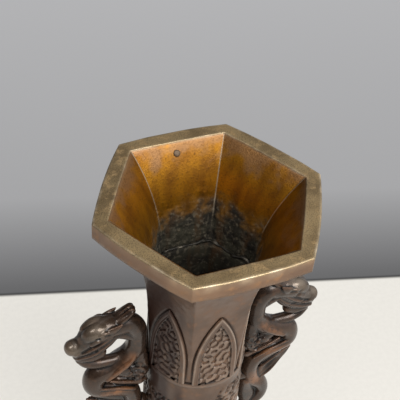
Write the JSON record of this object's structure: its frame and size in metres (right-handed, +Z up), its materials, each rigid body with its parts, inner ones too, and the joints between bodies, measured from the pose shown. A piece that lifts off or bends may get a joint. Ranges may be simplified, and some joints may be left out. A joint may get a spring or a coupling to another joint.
{
  "type": "bronze gu vessel",
  "caption": "Hexagonal trumpet-mouthed bronze vase with leaf panels on the neck, a rounded middle section, a flared hollow foot and riveted dragon handles.",
  "frame": {"origin": "centre of the foot's underside, on the surface that the vessel stands on", "axes": "+Z up along the vessel's axis; X through the two handles and two corners of the hexagon; -Y is the front, square to a flat side"},
  "size_m": [0.163, 0.113, 0.29],
  "materials": {
    "patinated_bronze": "brown patina, worn to olive gold on the lip",
    "handle_bronze": "dark brown patina, worn on the ridges",
    "rivet_bronze": "dull bronze",
    "solder": "dull grey solder",
    "plug_metal": "dull grey-brown bronze"
  },
  "bodies": {
    "root": {"mouth_neck": "patinated_bronze", "middle_section": "patinated_bronze", "foot": "patinated_bronze", "floor_plate": "patinated_bronze", "left_dragon_handle": "handle_bronze", "right_dragon_handle": "handle_bronze", "left_upper_rivet": "rivet_bronze", "left_lower_rivet": "rivet_bronze", "right_upper_rivet": "rivet_bronze", "right_lower_rivet": "rivet_bronze", "neck_solder_seam": "solder", "floor_solder_seam": "solder", "foot_solder_seam": "solder", "wall_plug": "plug_metal"}
  },
  "joints": []
}
